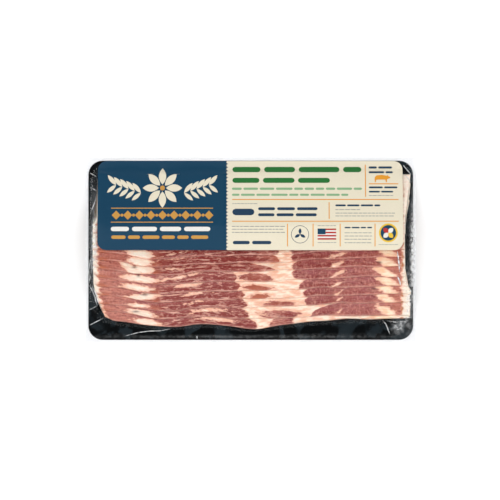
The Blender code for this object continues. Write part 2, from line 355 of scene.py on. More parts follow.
def tube_faces(first, steps, size):
    """Join loops of size points into a tube that is closed at both ends."""
    quads = []
    for start in range(first, first + steps * size, size):
        for row in range(size):
            a, b = start + row, start + (row + 1) % size
            quads.append((a, b, b + size, a + size))
    last = first + steps * size
    return quads + [tuple(range(first, first + size))[::-1], tuple(range(last, last + size))]


def dress(node, material):
    """Give a solid that stays a finished material."""
    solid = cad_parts[node]
    solid.data.materials.clear()
    solid.data.materials.append(material)


print("solids in the frame", len(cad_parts))

# %% [markdown]
# ## Black coated board
#
# The board is solid bleached or recycled board, extrusion-coated with black polyethylene. The
# coating is smooth and glossy, so it is black wherever it mirrors the dark ceiling. The film over
# it clings in some places and lifts in others, mostly near the rim, and where it lifts its slate
# grey reflection is painted into the board's colour. A noise with patches about 16 mm wide makes
# that mottle of painted reflection, and a finer one the faint orange peel of a coating that was
# rolled on hot.

# %% The board
coated_board, tree, shader = new_material(
    "polyethylene_coated_board", {"Roughness": 0.16, "Specular IOR Level": 0.35})
place = add(tree, "ShaderNodeTexCoord", out="Object")
shifted = add(tree, "ShaderNodeMapping", {"Vector": place, "Location": (0.11, 0.0, 0.0)})
lift_reflection_mask = add(tree, "ShaderNodeTexNoise",
            {"Vector": shifted, "Scale": 1 / (16 * MM), "Detail": 2.0, "Distortion": 0.8})
apart = add(tree, "ShaderNodeSeparateXYZ", {0: place}).node.outputs
sideways = add(tree, "ShaderNodeMath", {0: apart["X"]}, operation="ABSOLUTE")
for side, start, end, share in ((apart["Y"], -60, -69, 0.02), (sideways, 112, 126, 0.04)):
    looser = add(tree, "ShaderNodeMapRange",
                 {"Value": side, "From Min": start * MM, "From Max": end * MM, "To Max": share})
    lift_reflection_mask = add(tree, "ShaderNodeMath", {0: lift_reflection_mask, 1: looser}, operation="ADD")
# Where the film lifts, its slate grey reflection is painted into the board's colour.
ramp = add(tree, "ShaderNodeValToRGB", {0: lift_reflection_mask})
pressed, lifted_reflection = ramp.node.color_ramp.elements
pressed.position, pressed.color = 0.51, linear("#040506")
lifted_reflection.position, lifted_reflection.color = 0.62, linear("#1d2428")
peel = add(tree, "ShaderNodeTexNoise", {"Vector": place, "Scale": 1 / (2.5 * MM), "Detail": 2.0})
bump = add(tree, "ShaderNodeBump", {"Height": peel, "Strength": 0.2, "Distance": 0.06 * MM})
feed(shader, {"Base Color": ramp, "Normal": bump})
dress("board", coated_board)
print("board material", len(tree.nodes), "nodes")

# %% [markdown]
# ## Clear film
#
# Skin film is a co-extruded polyethylene and nylon sheet about 0.1 mm thick, heated until it
# drapes. Nearly all light goes straight through where it faces the eye, and where it leans away
# it mirrors the room. That share grows with about the fifth power of the lean, and is alike from
# both sides of a thin sheet. Folded or sealed film scatters light and looks milky. The mesh
# keeps how milky it is as an attribute, and the same milky white also paints the glare on the
# ends of the pile, the folds and the front rim. A noise 3 mm wide breaks it up into streaks.

# %% The film's material
clear_film, tree, unused = new_material("skin_film")
tree.nodes.remove(unused)
place = add(tree, "ShaderNodeTexCoord", out="Object")
ripple = add(tree, "ShaderNodeTexNoise", {"Vector": place, "Scale": 1 / (6 * MM), "Detail": 2.0})
bump = add(tree, "ShaderNodeBump", {"Height": ripple, "Strength": 0.3, "Distance": 0.15 * MM})
leaning = add(tree, "ShaderNodeLayerWeight", {"Blend": 0.5, "Normal": bump}, out="Facing")
leaning = add(tree, "ShaderNodeMath", {0: leaning, 1: 5.0}, operation="POWER")
mirror = add(tree, "ShaderNodeMath", {0: leaning, 1: 0.22, 2: 0.016}, operation="MULTIPLY_ADD")
shine = add(tree, "ShaderNodeBsdfAnisotropic", {"Roughness": 0.12, "Normal": bump})
clear = add(tree, "ShaderNodeBsdfTransparent")
glossy_film = add(tree, "ShaderNodeMixShader", {0: mirror, 1: clear, 2: shine})
# This milky white is partly real haze and partly painted glare.
milk_white_and_glare = add(tree, "ShaderNodeBsdfDiffuse", {"Color": linear("#eef0f1")})
haze_and_glare = add(tree, "ShaderNodeAttribute", out="Fac", attribute_name="haze_and_glare")
streaks = add(tree, "ShaderNodeTexNoise", {"Vector": place, "Scale": 1 / (3 * MM), "Detail": 3.0})
streaks = add(tree, "ShaderNodeMapRange",
              {"Value": streaks, "From Min": 0.42, "From Max": 0.58, "To Min": 0.25})
milky_and_glare = add(tree, "ShaderNodeMath", {0: haze_and_glare, 1: streaks}, operation="MULTIPLY")
film = add(tree, "ShaderNodeMixShader", {0: milky_and_glare, 1: glossy_film, 2: milk_white_and_glare})
feed(tree.nodes["Material Output"], {"Surface": film})
dress("film_base", clear_film)
print("film material", len(tree.nodes), "nodes")

# %% [markdown]
# ## Bacon: where it is fat and where it is lean
#
# Every slice comes from the same belly, so the bands of fat and lean run on from slice to slice
# and only shift a little. Each band is a lens or a stretch of the slice. They are joined into one
# value, the distance in millimetres into the fat, which is kept on the mesh as an attribute. The
# material can then make a ragged edge, a smoky rim and fine marbling from that one value.

# %% Lenses and stretches of fat
def lens(x, v, middle_x, middle_v, half_length, half_width, slope=0.0):
    """Return how deep a place is inside a slanted lens, in millimetres, or below 0 outside."""
    along = (x - middle_x) / half_length
    across = (v - middle_v - slope * (x - middle_x)) / half_width
    return half_width * (1 - math.hypot(along, across))


def stretch(x, start, end):
    """Return how deep a place is between two ends."""
    return min(x - start, end - x)


# Along the slice, from left to right, for the front slice first: middle x, middle v, half length,
# half width and slope, where v is the distance behind the slice's own front edge.
LEFT_PATCHES = [
    (-84, 2.6, 12.5, 3.0, -0.05), (-88.5, 2.8, 11.5, 3.3, 0.0), (-90.5, 2.2, 8.5, 2.0, 0.0),
    (-86, 3.8, 15, 3.0, 0.27), (-91.5, 3.2, 12.5, 2.8, 0.05), (-89.5, 3.2, 14.5, 2.9, 0.0),
    (-98, 4.6, 10.5, 4.2, -0.6), (-89.5, 3.6, 10.5, 4.0, 0.05), (-90, 3.6, 11.0, 4.2, 0.0),
]
MIDDLE_STREAKS = [
    (-27, 4.9, 15, 1.6, 0.0), (-35.5, 5.4, 14, 1.5, 0.1), (-46, 5.2, 6, 1.0, 0.1),
    (-43, 5.6, 10, 1.3, 0.12), (-49, 6.0, 11, 1.6, 0.08), (-56, 5.8, 14, 1.3, 0.15),
    (-61, 5.0, 8, 0.8, 0.0), (-62, 5.6, 9, 0.7, 0.0), (-58, 4.0, 7, 0.6, 0.1),
]
RIGHT_STREAKS = [
    (71.3, 3.4, 3.2, 1.1, 0.7), (71.3, 3.4, 3.2, 1.1, 0.7), (70.4, 2.8, 4.2, 0.9, 0.6),
    (71, 2.6, 4.2, 0.9, 0.55), (68.8, 2.5, 4.8, 1.1, 0.5), (69, 3.0, 5.0, 1.3, 0.5),
    (68.6, 2.2, 5.4, 1.8, 0.35), (69.5, 3.0, 6.8, 1.3, 0.27), (70, 3.0, 5.5, 1.2, 0.3),
]
SECOND_PATCH = (-86.5, 4.0, 9.5, 3.8, 0.0)

# Islands of lean in the fat band, and how strongly they are browned
ISLANDS = {
    1: (23.5, 3.2, 16, 3.2, -0.03), 2: (22, 2.2, 13, 2.4, 0.0), 3: (7.5, 2.0, 7.5, 1.9, 0.05),
    4: (5, 2.0, 11, 2.6, 0.0), 5: (4, 2.6, 13.5, 4.0, -0.05),
}
BROWN_ISLANDS = {2: 0.3, 3: 1.0, 4: 0.85, 5: 0.35}

# Where the fat band starts and ends, and how much that shifts for each millimetre of v
BAND_STARTS = [5.0, -1.8, -3.8, -5.5, -9.5, -11.9, 22.5, 25.5, 22.0]
BAND_START_SLANTS = [0.0, 0.0, 0.1, 0.1, 0.2, 0.2, -2.6, -1.0, 0.3]
BAND_ENDS = [14.0, 46.5, 43.8, 42.3, 38.3, 36.0, 33.0, 32.6, 31.8]
BAND_END_SLANTS = [0.6, 1.2, 0.0, 0.1, 0.3, -0.6, 0.2, 0.1, 0.1]
TIP_CURVE = 0.22


def by_slice(values, index):
    """Return a slice's own value, and for the hidden slices that of the last one in sight."""
    return values[min(index, len(values) - 1)]


def fat_depth(index, x, v, from_left):
    """Return how deep a place is in fat, in mm; below 0 is lean. All lengths are in mm."""
    start = by_slice(BAND_STARTS, index) + by_slice(BAND_START_SLANTS, index) * v
    start -= TIP_CURVE * (v - 3) ** 2
    end = by_slice(BAND_ENDS, index) + by_slice(BAND_END_SLANTS, index) * v
    end += TIP_CURVE * (v - 3) ** 2
    band = stretch(x, start, end)
    if index in ISLANDS:
        band = min(band, -lens(x, v, *ISLANDS[index]))
    parts = [
        band,
        lens(x, v, *by_slice(LEFT_PATCHES, index)),
        lens(x, v, *by_slice(MIDDLE_STREAKS, index)),
        lens(x, v, *by_slice(RIGHT_STREAKS, index)),
        lens(x, v, 109.5 + 0.8 * math.sin(index * 2.1), 3.6, 9.5, 3.6, -0.42),
        x - 121.5 + 0.6 * math.sin(1.1 * v + index),
        blend(1.8, 4.4, min(index / 3, 1.0)) + 0.9 * math.sin(1.2 * v + 2 * index) - from_left,
    ]
    if index == 0:
        parts.append(stretch(x, 34, 130))
    if index == FOLDED_SLICE:
        parts.append(lens(x, v, *SECOND_PATCH))
    return max(parts)


print("middle of the fat band:", round(fat_depth(3, 20, 3, 147), 1), "mm deep")

# %% [markdown]
# ## Cured pork: what the mesh keeps, and the noises
#
# Curing salt keeps lean pork rose red, and smoke browns it where it was bare. The mesh of each
# slice keeps some tones as attributes: how fat a place is, how deep red, how marbled, and so on.
# Noises stretched along the slice give the grain of the meat, from fibres under a millimetre
# thick to blotches nearly a centimetre long.

# %% Attributes and noises
pork, tree, shader = new_material("cured_pork_belly", {
    "Subsurface Weight": 0.12, "Subsurface Radius": (1.0, 0.35, 0.2), "Subsurface Scale": 1.2 * MM})
TONES = ["fat", "yellow", "pale", "deep", "mauve", "marbled", "pooled_and_shade", "hatched", "trim_and_highlight", "smoke",
         "brown", "wedge", "gap_shade"]
kept = {name: add(tree, "ShaderNodeAttribute", out="Fac", attribute_name=name) for name in TONES}
grain = add(tree, "ShaderNodeAttribute", out="Vector", attribute_name="grain")

# Each noise: length and width of its grains in millimetres, detail, roughness
GRAINS = {
    "ragged": (3.6, 1.5, 4.0, 0.62), "fibres": (7.0, 0.8, 4.0, 0.6), "flecks": (3.2, 1.0, 4.0, 0.7),
    "spots": (4.6, 1.9, 3.0, 0.6), "blotches": (9.0, 3.2, 3.0, 0.5), "hatch": (1.5, 2.6, 3.0, 0.6),
    "creamy": (8.0, 2.4, 3.0, 0.5), "streaks": (14.0, 1.5, 3.0, 0.5), "pools": (7.0, 1.7, 2.0, 0.5),
}
noises = {}
for name, (long, wide, detail, roughness) in GRAINS.items():
    stretched = (1 / (long * MM), 1 / (wide * MM), 1.0)
    laid = add(tree, "ShaderNodeMapping", {"Vector": grain, "Scale": stretched})
    noises[name] = add(tree, "ShaderNodeTexNoise",
                       {"Vector": laid, "Scale": 1.0, "Detail": detail, "Roughness": roughness})
print("pork noises", len(noises))

# %% [markdown]
# ## Cured pork: where each noise shows
#
# A noise becomes a share from 0 to 1 by a smooth rise. The veins are the borders of stretched
# cells, bent a little, because the fat of a marbled belly runs between bundles of muscle in the
# same way. Fine pale marks across the slice are the cut ends of fibres. Some shares show only
# where the mesh says so.

# %% Shares
laid = add(tree, "ShaderNodeMapping", {"Vector": grain, "Scale": (1 / (11 * MM), 1 / (3.2 * MM), 1.0)})
bend = add(tree, "ShaderNodeTexNoise", {"Vector": laid, "Scale": 1.3, "Detail": 3.0}, out="Color")
bent = add(tree, "ShaderNodeVectorMath", {0: laid, 1: bend}, operation="ADD")
veins = add(tree, "ShaderNodeTexVoronoi", {"Vector": bent, "Scale": 1.0}, feature="DISTANCE_TO_EDGE")

# Each share: the noise, where its smooth rise starts and ends, and how strong it is
SHARES = {
    "blotches": ("blotches", 0.40, 0.58, 1.0), "fibres": ("fibres", 0.44, 0.60, 0.6),
    "spots": ("spots", 0.54, 0.66, 0.6), "flecks": ("flecks", 0.56, 0.69, 0.5),
    "hatch": ("hatch", 0.50, 0.62, 0.6), "creamy": ("creamy", 0.38, 0.64, 1.0),
    "patchy": ("blotches", 0.35, 0.6, 1.0), "streaks": ("streaks", 0.60, 0.66, 0.7),
    "veins": ("spots", 0.44, 0.56, 0.58), "pools": ("pools", 0.43, 0.57, 0.8),
}
shares = {}
for name, (source, start, end, strength) in SHARES.items():
    shares[name] = add(tree, "ShaderNodeMapRange",
                       {"Value": noises[source], "From Min": start, "From Max": end, "To Max": strength},
                       interpolation_type="SMOOTHSTEP")
thin = add(tree, "ShaderNodeMapRange", {"Value": veins, "From Min": 0.13, "From Max": 0.02},
           interpolation_type="SMOOTHSTEP")
shares["veins"] = add(tree, "ShaderNodeMath", {0: thin, 1: shares["veins"]}, operation="MULTIPLY")
shares["blotches"] = add(tree, "ShaderNodeMath", {0: shares["blotches"], 1: 0.4, 2: 0.5},
                         operation="MULTIPLY_ADD")
where = {"blotches": "mauve", "veins": "marbled", "streaks": "marbled", "pools": "pooled_and_shade",
         "hatch": "hatched"}
for name, tone in where.items():
    shares[name] = add(tree, "ShaderNodeMath", {0: shares[name], 1: kept[tone]}, operation="MULTIPLY")
print("pork shares", len(shares))

# %% [markdown]
# ## Cured pork: colours
#
# Lean is laid in layers: a rose ground, deep red near the front edge that is partly painted shade,
# mauve further back, dark fibres and spots, pale flecks and veins, and a pale front rim that is
# partly trim and partly a painted highlight. Fat lies over that, cream inside and pink at its
# edge, which is ragged. It is yellower near the rind and browned by smoke on the cut edge, and
# dark brown paints shade in the small gaps between slices.

# %% Colours of lean and fat
colour = linear("#c57c69")
for share, code in (
    # Deep red and dark pools near each front edge are partly painted shade.
    (kept["deep"], "#7f2119"), (shares["blotches"], "#94474c"), (shares["fibres"], "#761c17"),
    (shares["pools"], "#7e231c"), (shares["spots"], "#661610"), (shares["hatch"], "#c47e70"),
    (shares["flecks"], "#d59483"), (shares["streaks"], "#e8b7a3"), (shares["veins"], "#e3ab98"),
    # The pale front rim is partly trim and partly a painted highlight.
    (kept["trim_and_highlight"], "#d9a08f"), (kept["brown"], "#aa573b"),
):
    colour = add(tree, "ShaderNodeMixRGB", {0: share, 1: colour, 2: linear(code)})

wander = add(tree, "ShaderNodeMath", {0: noises["ragged"], 1: 4.6, 2: -4.1}, operation="MULTIPLY_ADD")
wander = add(tree, "ShaderNodeMath", {0: noises["creamy"], 1: 3.6, 2: wander}, operation="MULTIPLY_ADD")
depth = add(tree, "ShaderNodeMath", {0: kept["fat"], 1: wander}, operation="ADD")
fat_share = add(tree, "ShaderNodeMapRange", {"Value": depth, "From Min": -0.45, "From Max": 0.35},
                interpolation_type="SMOOTHSTEP")
inside = add(tree, "ShaderNodeMapRange", {"Value": depth, "From Min": 0.0, "From Max": 1.7},
             interpolation_type="SMOOTHSTEP")
cream = linear("#f8e4d0")
for share, code in ((shares["creamy"], "#e8b396"), (kept["yellow"], "#f0d0a0"), (kept["pale"], "#efe6d6")):
    cream = add(tree, "ShaderNodeMixRGB", {0: share, 1: cream, 2: linear(code)})
cream = add(tree, "ShaderNodeMixRGB", {0: inside, 1: linear("#e8b197"), 2: cream})
colour = add(tree, "ShaderNodeMixRGB", {0: fat_share, 1: colour, 2: cream})
smoked = add(tree, "ShaderNodeMath", {0: kept["smoke"], 1: shares["patchy"]}, operation="MULTIPLY")
smoked = add(tree, "ShaderNodeMath", {0: smoked, 1: fat_share}, operation="MULTIPLY")
# The dark brown last colour is painted shade in the gaps between slices.
for share, code in ((smoked, "#b06536"), (kept["wedge"], "#b0613d"), (kept["gap_shade"], "#4a2318")):
    colour = add(tree, "ShaderNodeMixRGB", {0: share, 1: colour, 2: linear(code)})
feed(shader, {"Base Color": colour})
print("pork colours laid")

# %% [markdown]
# ## Cured pork: surface
#
# Meat under a skin film is moist, so its roughness is low and follows the fibres. Light goes a
# millimetre or so into it, red the furthest, which softens all small shadows. Fat stands a
# little higher than lean, because salt draws water out of the lean.

# %% Moist surface
wet = add(tree, "ShaderNodeMapRange", {"Value": noises["fibres"], "To Min": 0.30, "To Max": 0.48})
raised = add(tree, "ShaderNodeMath", {0: fat_share, 1: 0.5, 2: noises["fibres"]}, operation="MULTIPLY_ADD")
bump = add(tree, "ShaderNodeBump", {"Height": raised, "Strength": 0.6, "Distance": 0.35 * MM})
feed(shader, {"Roughness": wet, "Normal": bump})
print("pork material", len(tree.nodes), "nodes")

# %% [markdown]
# ## The slices
#
# A slice is a long soft strip. Its cross-section is one closed loop of points: round at the
# front, along the top, round at the back and along the bottom. The loop is carried along the
# slice in short steps, so the front edge can wander, and the top has the low relief of real
# meat. The rows are close together only where the slice shows in front of the next one.

# %% The section of a slice
COLUMNS = 300
TOP_ROWS = [1.3, 1.7, 2.1, 2.8, 3.5, 4.2, 4.9, 5.6, 6.3, 7.0, 7.8, 8.8, 10.0]
FRONT_ROUND = [(0.12, 0.0), (0.0, 0.10), (0.08, 0.36), (0.36, 0.70), (0.80, 0.92)]
END_ROUND = 1.2 * MM
BACK_ROUND = 0.8 * MM
ROWS_END = 13 * MM
SLICE_RELIEF = 0.22 * MM


def relief(index, x, y, amount):
    """Return the low uneven relief of a slice's top."""
    coarse = noise.noise(Vector((x / (9 * MM), y / (5 * MM), index * 7.3)))
    fine = noise.noise(Vector((x / (3 * MM), y / (1.6 * MM), index * 3.1)))
    return amount * (0.7 * coarse + 0.3 * fine)


def slice_loop(index, x, share):
    """Return a slice's loop of points at x, as places before the sag and heights, with v."""
    front = front_edge(index, x)
    end = FRONT_Y + index * STEP_BACK + SLICE_WIDTH
    bends = [CREST_Y, CREST_Y + STEP_BACK / 2, SAG_FADE_FROM, 13 * MM, LAST_FRONT]
    far = [y for y in bends if FRONT_Y + index * STEP_BACK + ROWS_END < y < end - 2 * MM]
    round_end = min(1.0, max(share, 0.0)) ** 0.5
    rows = [front + v * MM for v in TOP_ROWS if front + v * MM < end - 2 * MM]
    loop = [(front + v * MM, height, v) for v, height in FRONT_ROUND]
    loop += [(y, 1.0, (y - front) / MM) for y in rows + far + [end - BACK_ROUND]]
    loop.append((end, 0.5, (end - front) / MM))
    loop += [(y, 0.0, (y - front) / MM) for y in [end - BACK_ROUND] + far[::-1]]
    loop.append((front + 6 * MM, 0.0, 6.0))
    points = []
    for y, height, v in loop:
        bottom = slice_bottom(index, x, y)
        lift = relief(index, x, y, SLICE_RELIEF) if height > 0.6 else 0.0
        level = 0.5 + (height - 0.5) * round_end
        points.append((x, sagged(x, y), bottom + SLICE_UPRIGHT * level + lift * round_end, v))
    return points


print("points in a section", len(slice_loop(0, 0.0, 1.0)))

# %% [markdown]
# ## Tones along a slice
#
# The tones that the mesh keeps are worked out for each point from the place along the pack and
# the distance behind the slice's own front edge. The meat is painted deeper red near that edge, as
# shade on the rounded front of each strip, and greyer further back. The outer ends are browned by
# smoke, and small dark patches paint the shade in gaps where one slice doesn't quite lie on the
# next.

# %% Tones
# Stretches of deep red: where each starts, is full, fades and ends along the slice, and strength
DEEP = [(-84, -74, -4, 16, 0.95), (22, 34, 62, 72, 0.80), (66, 76, 96, 104, 0.35)]
# Browned spots: middle x and v, half length and half width in millimetres, and strength
BROWNED = [(-77, 1.8, 3.5, 1.6, 0.7), (-118.5, 0.6, 4, 1.3, 0.9)]
# Painted shade in small gaps between slices: middle x and y, half length and half width in
# millimetres
GAP_SHADES = [
    (-93.8, -13.6, 1.3, 0.6), (-90.5, -20.3, 1.0, 0.8), (-85.7, -35.8, 2.2, 0.6),
    (-92.9, -49.6, 2.0, 0.5), (103.8, -9.9, 1.2, 0.6), (99.5, -31.0, 1.8, 0.5),
]
GAP_SHADES_END = 8


def slice_tone(index, x, y, v):
    """Return the tones of a place of a slice, each from 0 to 1."""
    right_lean = soft_step(x, 103, 109)
    deep = 0.05 + sum(amount * plateau(x, *span) for *span, amount in DEEP) - 0.25 * right_lean
    deep += 0.4 * noise.noise(Vector((x / 11, v / 4, index * 2.7)))
    wedge = 0.9 * spot(x, v, -122.5 + 1.2 * math.sin(2.3 * index), 0.6, 2.6, 1.3)
    smoke = 0.6 * math.exp(-v / 0.45)
    smoke += 1.3 * bell(x, 121.8 + 0.8 * math.sin(v * 1.2 + index), 0.8)
    brown = sum(amount * spot(x, v, *place) for *place, amount in BROWNED) + 0.3 * bell(x, 117, 3)
    if index in BROWN_ISLANDS:
        brown += BROWN_ISLANDS[index] * bell(x, ISLANDS[index][0], 9)
    if index in (FOLDED_SLICE, FOLDED_SLICE + 1):
        brown += 0.8 * bell(x, 23, 4)
    in_middle = plateau(x, -82, -70, 10, 45)
    marbled = 0.25 + 0.75 * in_middle
    # Deeper red and more dark pools near the front edge paint shade on the rounded front of each strip.
    back = soft_step(v, 2.2, 4.6)
    deep += (0.40 - 0.60 * back) * (0.5 + 0.5 * in_middle)
    pooled_and_shade = marbled * (1 - 0.65 * back)
    # A pale rim on the rounded front edge, partly trim and partly a painted highlight.
    trim_and_highlight = 0.9 * bell(v, 0.1, 0.55) * (0.65 + 0.5 * noise.noise(Vector((x / 6, 0.0, index * 5.1))))
    mauve = back * (1 - 0.6 * in_middle) * (1 - 0.85 * soft_step(-x, 90, 100))
    mauve *= 1 - 0.8 * right_lean
    mauve += 0.35 * plateau(x, 72, 78, 96, 101)
    yellow = 0.35 * plateau(x, 96, 104, 112, 118)
    # The pale left ends are partly white fat and partly a painted highlight of the film's glare.
    pale = 0.7 * soft_step(x, 119.5, 121.5) + 0.75 * soft_step(-x, 120, 123)
    pale += 0.55 * plateau(x, -104, -98, -80, -74)
    # Dark patches in the gaps between slices are painted shade.
    gap_shade = 0.9 * max(spot(x, y, *place) for place in GAP_SHADES)
    hatched = 1 - 0.75 * in_middle
    tones = {
        "yellow": yellow, "pale": pale, "deep": deep, "mauve": mauve, "marbled": marbled,
        "pooled_and_shade": pooled_and_shade, "hatched": hatched, "trim_and_highlight": trim_and_highlight, "smoke": smoke, "brown": brown,
        "wedge": wedge, "gap_shade": gap_shade if v < GAP_SHADES_END else 0.0,
    }
    return {name: min(max(tone, 0.0), 1.0) for name, tone in tones.items()}


print("tones", ", ".join(slice_tone(0, 0.0, -40.0, 2.0)))

# %% [markdown]
# ## Twelve slices
#
# The section is carried along each slice in short steps, and both ends are closed. The ends of
# the pile are not straight: it is short at the left front and bulges at the right.

# %% Make the slices
def make_slice(index):
    """Make one slice from its loops."""
    uneven = random.Random(100 + index).uniform(-0.4, 0.4) * MM
    mid = FRONT_Y + index * STEP_BACK
    left, right = left_end(sagged(LEFT_END_X, mid)), right_end(sagged(RIGHT_END_X, mid))
    loops = []
    fat = []
    for column in range(COLUMNS + 1):
        share = column / COLUMNS
        edge = min(share, 1 - share) * SLICE_LENGTH / END_ROUND
        moved = []
        for x, y, z, v in slice_loop(index, blend(left, right, share), edge):
            start = left_end(y) + GAP + uneven
            end = right_end(y) - GAP + uneven
            moved.append((blend(start, end, share), y, z, v))
            fat.append(fat_depth(index, moved[-1][0] / MM, v, share * (end - start) / MM))
        loops.append(moved)
    points = [point[:3] for loop in loops for point in loop]
    faces = tube_faces(0, COLUMNS, len(loops[0]))
    piece = make_piece(f"bacon_slice_{index + 1:02d}", points, faces, [pork])
    values = {"fat": fat}
    for loop in loops:
        for x, y, z, v in loop:
            for name, tone in slice_tone(index, x / MM, y / MM, v).items():
                values.setdefault(name, []).append(tone)
    for name, numbers in values.items():
        keep(piece, name, numbers)
    grain = [value for loop in loops for x, y, z, v in loop for value in (x, v * MM, index * 7.3)]
    keep(piece, "grain", grain, "FLOAT_VECTOR", "vector")
    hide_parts(f"slice_{index + 1:02d}")
    return len(faces)


print("slice faces", [make_slice(index) for index in range(SLICE_COUNT)])

# %% [markdown]
# ## The top film
#
# The film is drawn down on everything by vacuum: it follows each slice, drops at every front
# edge, hugs the ends of the pile, and lies flat on the board out to the seal. It is laid out as
# lines from front to back, each with its own height, and joined into one thin sheet. The label
# later hides the back half of it.

# %% Lines of the film
BOARD_HALF_X = 131.5 * MM
BOARD_HALF_Y = 72.5 * MM
BOARD_CORNER = 11.5 * MM
FILM_COLUMNS = 230
FILM_OVER = 0.32 * MM
FILM_RELIEF = 0.10 * MM
FILM_END_FREE = 0.7 * MM
ON_BASE = 0.62 * MM
ON_BOARD = 2.12 * MM
RIM = [(1.0 * MM, ON_BASE), (0.6 * MM, ON_BOARD), (-0.7 * MM, ON_BOARD)]
WALL = [(0.06, 0.84), (0.14, 0.52), (0.26, 0.24), (0.45, 0.07), (0.70, 0.0)]


def rim(half_pack, half_board):
    """Return where the film climbs from the seal onto the board, from the outside in."""
    return [(half_pack, ON_BASE)] + [(half_board + past, z) for past, z in RIM]


def film_rows():
    """Return the film's lines: whether they cross the pile, place before the sag, height."""
    def on_board(x, y):
        return ON_BOARD + 0.05 * MM * noise.noise(Vector((x / (7 * MM), y / (7 * MM), 5)))

    def over(index, drop=0.0):
        lower = max(index - 1, 0)

        def height(x, y):
            top = slice_bottom(index, x, y) + SLICE_UPRIGHT + FILM_OVER
            if drop:
                under = slice_bottom(lower, x, y) + SLICE_UPRIGHT + FILM_OVER if index else ON_BOARD
                top = blend(top, under, drop)
            return top + relief(index, x, y, FILM_RELIEF)

        return height

    def flat(x, y):
        return stack_top(x, y) + FILM_OVER

    rings = rim(PACK_DEPTH / 2, BOARD_HALF_Y)
    inside = rings[-1][0]
    rows = [(False, lambda x, y=y: -y, lambda x, v, z=z: z) for y, z in rings]
    for part in (0.07, 0.14, 0.21, 0.4, 0.6, 0.8):
        def before_pile(x, p=part):
            return blend(-inside, sagged(x, front_edge(0, x)) - 2 * MM, p)
        rows.append((False, before_pile, on_board))
    for index in range(SLICES_IN_SIGHT):
        for offset, drop in ((-0.85, 1.0), (-0.40, 0.90), (0.0, 0.60), (0.40, 0.22), (0.90, 0.0)):
            rows.append((True, lambda x, i=index, o=offset: front_edge(i, x) + o * MM, over(index, drop)))
        if index < SLICES_IN_SIGHT - 1:
            for part in (0.3, 0.55, 0.8):
                def between_edges(x, i=index, p=part):
                    return blend(front_edge(i, x), front_edge(i + 1, x) - 0.85 * MM, p)
                rows.append((True, between_edges, over(index)))
    for y in (3.5 * MM, 8 * MM, 14 * MM, LAST_FRONT, 30 * MM, 40 * MM, 50 * MM, PILE_END):
        rows.append((True, lambda x, y=y: y, flat))
    rows.append((True, lambda x: PILE_FOOT, on_board))
    rows.append((False, lambda x: PILE_FOOT + 3 * MM, on_board))
    rows += [(False, lambda x, y=y: y, lambda x, v, z=z: z) for y, z in reversed(rings)]
    return rows


print("lines over the pack", len(film_rows()))

# %% [markdown]
# ## From lines to a sheet
#
# At both ends each line drops down the side of the pile in a soft curve and runs on over the
# board to the seal. Near the corners of the board the points are pulled onto its round corners.

# %% One line of points
def round_corner(x, y):
    """Pull a point past a board corner's centre onto the arc at its own distance."""
    past_x = abs(x) - (BOARD_HALF_X - BOARD_CORNER)
    past_y = abs(y) - (BOARD_HALF_Y - BOARD_CORNER)
    if past_x <= 0 or past_y <= 0:
        return x, y
    pull = max(past_x, past_y) / math.hypot(past_x, past_y)
    x = math.copysign(BOARD_HALF_X - BOARD_CORNER + past_x * pull, x)
    y = math.copysign(BOARD_HALF_Y - BOARD_CORNER + past_y * pull, y)
    return x, y


def film_line(crosses, place, height):
    """Return one line of the film's points, from left to right."""
    if crosses:
        start = left_end(sagged(LEFT_END_X, place(0.0))) - FILM_END_FREE
        end = right_end(sagged(RIGHT_END_X, place(0.0))) + FILM_END_FREE
    else:
        end = BOARD_HALF_X - BOARD_CORNER + 4.5 * MM
        start = -end
    ends = []
    steps = rim(PACK_LENGTH / 2, BOARD_HALF_X)
    for side, edge in ((-1, start), (1, end)):
        y = place(edge)
        top = height(edge, y)
        y = sagged(edge, y) if crosses else y
        part = [(side * x, y, min(z, top)) for x, z in steps]
        for share, high_share in reversed(WALL):
            x = blend(edge, side * steps[-1][0], share)
            part.append((x, y, blend(min(ON_BOARD, top), top, high_share)))
        ends.append(part)
    middle = []
    for column in range(FILM_COLUMNS + 1):
        x = blend(start, end, column / FILM_COLUMNS)
        y = place(x)
        middle.append((x, sagged(x, y) if crosses else y, height(x, y)))
    points = ends[0] + middle + ends[1][::-1]
    last = len(points) - 1
    rounded = []
    for column, (x, y, z) in enumerate(points):
        if 0 < column < last and abs(y) < PACK_DEPTH / 2 - 0.01 * MM:
            x, y = round_corner(x, y)
        rounded.append((x, y, z))
    return rounded


print("points in a line", len(film_line(*film_rows()[0])))

# %% [markdown]
# ## Milky places and painted glare
#
# Film that was stretched hard down the ends of the pile, or rubbed in a corner, is milky there,
# and milky white also paints the film's glare at the ends, in a corner and on the front rim.
# A few soft patches, listed below, say where.

# %% The sheet
# Milky patches, which also paint the film's glare: middle x and y, half width and half depth in
# millimetres, and strength
MILKY_AND_GLARE = [
    (-126.6, 6, 1.8, 18, 0.6), (127.8, -41, 1.8, 14, 0.5), (119.2, -62.2, 2.6, 2.8, 0.75),
    (0, -70.0, 90, 0.7, 0.10), (130.9, -5, 1.0, 22, 1.3),
]


def haze_and_glare_at(x, y):
    """Return how cloudy the film is at a place, with the glare painted there."""
    return max(amount * spot(x / MM, y / MM, *place) for *place, amount in MILKY_AND_GLARE)


lines = [film_line(*row) for row in film_rows()]
wide = len(lines[0])
faces = []
for row in range(len(lines) - 1):
    for column in range(wide - 1):
        a = row * wide + column
        faces.append((a, a + 1, a + wide + 1, a + wide))
lid_points = [point for line in lines for point in line]
lid = make_piece("skin_film_lid", lid_points, faces, [clear_film])
# The film keeps its milkiness and its painted glare as one attribute.
keep(lid, "haze_and_glare", [haze_and_glare_at(x, y) for x, y, z in lid_points])
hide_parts("film_lid")
print("film", len(lines), "lines of", wide, "points")
